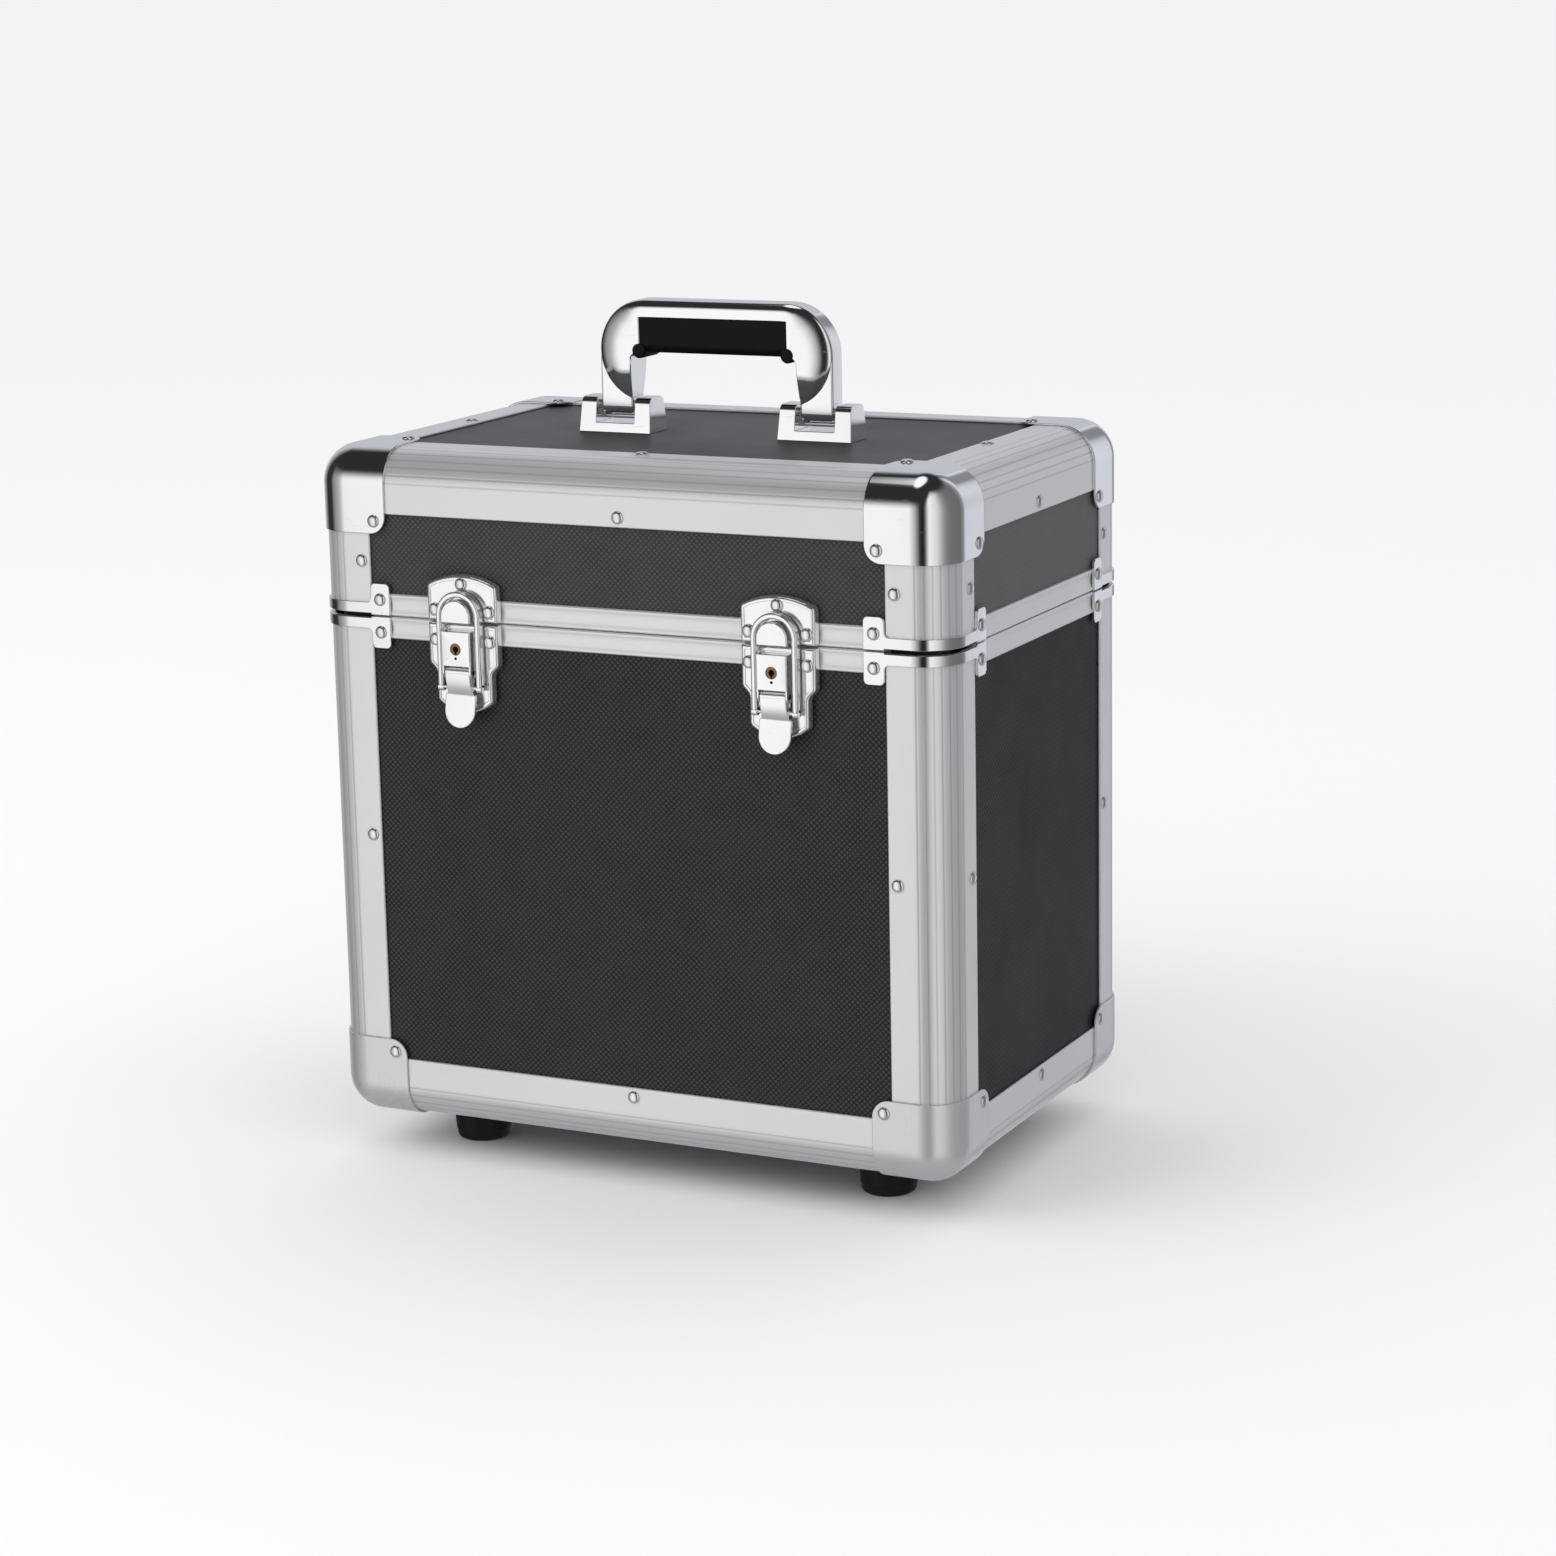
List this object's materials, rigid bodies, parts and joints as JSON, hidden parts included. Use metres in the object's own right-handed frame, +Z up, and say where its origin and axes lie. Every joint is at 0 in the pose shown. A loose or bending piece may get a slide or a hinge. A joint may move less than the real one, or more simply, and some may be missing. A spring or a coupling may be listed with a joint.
{
  "type": "record carrying case",
  "caption": "Upright carrying case for 12 inch records with metal edge profiles, capped corners, hinged lid, draw latches, fold-down handle and rubber feet.",
  "frame": {"origin": "on the surface the case stands on, under the middle of the case", "axes": "+Z up, -Y out of the front with the latches, +X to the right seen from the front"},
  "size_m": [0.3528, 0.2473, 0.4355],
  "materials": {
    "panel_skin": "charcoal skin with a fine diamond weave",
    "edge_aluminium": "satin, ribbed lengthwise",
    "rail_aluminium": "satin",
    "chrome_sheet": "mirror",
    "satin_cap": "satin",
    "latch_chrome": "mirror",
    "rivet_steel": "bright",
    "pin_steel": "plain",
    "hinge_steel": "zinc plated",
    "plug_brass": "dull",
    "foot_rubber": "matte",
    "grip_plastic": "fine matte grain",
    "lining": "soft felt"
  },
  "bodies": {
    "body": {"body_bottom_panel": "panel_skin", "body_front_panel": "panel_skin", "body_back_panel": "panel_skin", "body_left_panel": "panel_skin", "body_right_panel": "panel_skin", "body_front_edge": "edge_aluminium", "body_back_edge": "edge_aluminium", "body_left_edge": "edge_aluminium", "body_right_edge": "edge_aluminium", "body_corner_posts": "edge_aluminium", "body_rim_rails": "rail_aluminium", "body_cap_front_left": "satin_cap", "body_cap_front_right": "satin_cap", "body_cap_back_left": "satin_cap", "body_cap_back_right": "satin_cap", "body_corner_clamps": "chrome_sheet", "body_rivets": "rivet_steel", "body_lining": "lining", "rubber_feet": "foot_rubber", "foot_screws": "pin_steel", "latch_base_left": "latch_chrome", "latch_base_right": "latch_chrome", "latch_pins": "pin_steel", "hinge_body_leaf_left": "hinge_steel", "hinge_body_leaf_right": "hinge_steel", "hinge_pins": "pin_steel"},
    "lid": {"lid_top_panel": "panel_skin", "lid_front_panel": "panel_skin", "lid_back_panel": "panel_skin", "lid_left_panel": "panel_skin", "lid_right_panel": "panel_skin", "lid_front_edge": "edge_aluminium", "lid_back_edge": "edge_aluminium", "lid_left_edge": "edge_aluminium", "lid_right_edge": "edge_aluminium", "lid_corner_posts": "edge_aluminium", "lid_rim_rails": "rail_aluminium", "lid_cap_front_left": "chrome_sheet", "lid_cap_front_right": "chrome_sheet", "lid_cap_back_left": "chrome_sheet", "lid_cap_back_right": "chrome_sheet", "lid_corner_clamps": "chrome_sheet", "lid_rivets": "rivet_steel", "lid_lining": "lining", "handle_bracket_left": "latch_chrome", "handle_bracket_right": "latch_chrome", "bracket_screws": "pin_steel", "handle_pins": "pin_steel", "catch_plate_left": "latch_chrome", "catch_plate_right": "latch_chrome", "hinge_lid_leaf_left": "hinge_steel", "hinge_lid_leaf_right": "hinge_steel"},
    "handle": {"handle_frame": "latch_chrome", "handle_grip": "grip_plastic"},
    "lever_left": {"latch_lever_left": "latch_chrome"},
    "lever_right": {"latch_lever_right": "latch_chrome"},
    "loop_left": {"latch_loop_left": "latch_chrome"},
    "loop_right": {"latch_loop_right": "latch_chrome"},
    "plug_left": {"lock_plug_left": "plug_brass"},
    "plug_right": {"lock_plug_right": "plug_brass"}
  },
  "joints": [
    {"name": "lid_hinge", "type": "hinge", "parent": "body", "child": "lid", "pos_m": [0, 0.118, 0.285], "axis": [-1, 0, 0], "range_deg": [0, 100]},
    {"name": "handle_fold", "type": "hinge", "parent": "lid", "child": "handle", "pos_m": [0, 0, 0.3807], "axis": [1, 0, 0], "range_deg": [-85, 85]},
    {"name": "lever_left_lift", "type": "hinge", "parent": "body", "child": "lever_left", "pos_m": [-0.087, -0.122, 0.261], "axis": [-1, 0, 0], "range_deg": [0, 90]},
    {"name": "lever_right_lift", "type": "hinge", "parent": "body", "child": "lever_right", "pos_m": [0.087, -0.122, 0.261], "axis": [-1, 0, 0], "range_deg": [0, 90]},
    {"name": "loop_left_swing", "type": "hinge", "parent": "lever_left", "child": "loop_left", "pos_m": [-0.087, -0.1208, 0.253], "axis": [1, 0, 0], "range_deg": [0, 120]},
    {"name": "loop_right_swing", "type": "hinge", "parent": "lever_right", "child": "loop_right", "pos_m": [0.087, -0.1208, 0.253], "axis": [1, 0, 0], "range_deg": [0, 120]},
    {"name": "plug_left_turn", "type": "hinge", "parent": "body", "child": "plug_left", "pos_m": [-0.087, -0.122, 0.273], "axis": [0, -1, 0], "range_deg": [0, 90]},
    {"name": "plug_right_turn", "type": "hinge", "parent": "body", "child": "plug_right", "pos_m": [0.087, -0.122, 0.273], "axis": [0, -1, 0], "range_deg": [0, 90]}
  ],
  "couplings": [
    {"joint": "loop_left_swing", "follows": "lever_left_lift", "ratio": 1.3},
    {"joint": "loop_right_swing", "follows": "lever_right_lift", "ratio": 1.3}
  ]
}
